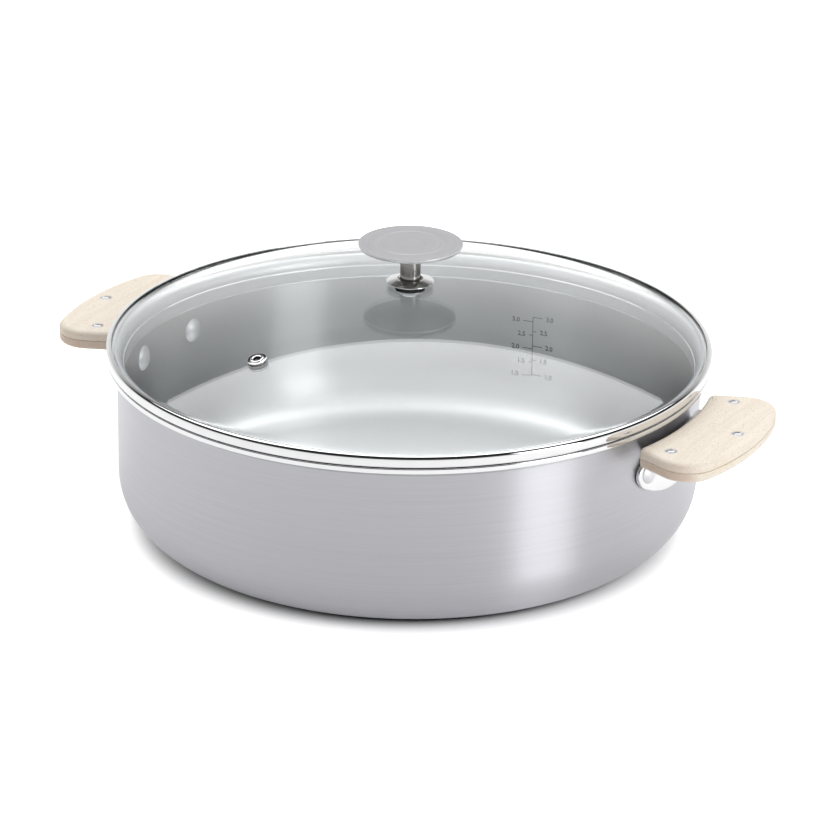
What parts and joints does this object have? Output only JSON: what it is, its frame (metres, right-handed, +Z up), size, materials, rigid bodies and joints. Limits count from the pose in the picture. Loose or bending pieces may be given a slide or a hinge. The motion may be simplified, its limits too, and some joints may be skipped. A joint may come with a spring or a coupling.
{
  "type": "two-handled pan with glass lid",
  "caption": "Low straight-sided stainless pan with short riveted wood side handles and a domed glass lid with a steel rim, steam vent and disc knob, for simmering and frying under cover.",
  "frame": {"origin": "centre of the pan's base, on the surface it stands on", "axes": "+X out through the right handle, +Y towards the back, +Z up along the pan's axis"},
  "size_m": [0.3656, 0.292, 0.1423],
  "materials": {
    "pan_steel": "fine circular brushing outside and in",
    "polished_steel": "mirror polished stainless",
    "satin_steel": "satin",
    "beech": "fine-sanded pale beech, unvarnished",
    "clear_glass": "clear tempered",
    "silicone": "matt"
  },
  "bodies": {
    "pan": {"pan_body": "pan_steel", "handle_bracket_right": "polished_steel", "handle_wood_upper_right": "beech", "handle_wood_lower_right": "beech", "grip_rivet_front_right": "satin_steel", "grip_rivet_back_right": "satin_steel", "grip_rivet_outer_right": "satin_steel", "wall_rivet_front_right": "satin_steel", "wall_rivet_back_right": "satin_steel", "handle_bracket_left": "polished_steel", "handle_wood_upper_left": "beech", "handle_wood_lower_left": "beech", "grip_rivet_front_left": "satin_steel", "grip_rivet_back_left": "satin_steel", "grip_rivet_outer_left": "satin_steel", "wall_rivet_front_left": "satin_steel", "wall_rivet_back_left": "satin_steel"},
    "lid": {"lid_glass": "clear_glass", "lid_rim": "polished_steel", "rim_seal": "silicone", "vent_eyelet": "polished_steel", "vent_washer": "silicone", "knob_disc": "satin_steel", "knob_stem": "satin_steel", "knob_base": "polished_steel", "knob_gasket": "silicone", "screw_gasket": "silicone", "screw_washer": "polished_steel", "knob_screw": "polished_steel"}
  },
  "joints": [
    {"name": "lid_lift", "type": "slide", "parent": "pan", "child": "lid", "axis": [0, 0, 1], "range_m": [0, 0.15]}
  ]
}
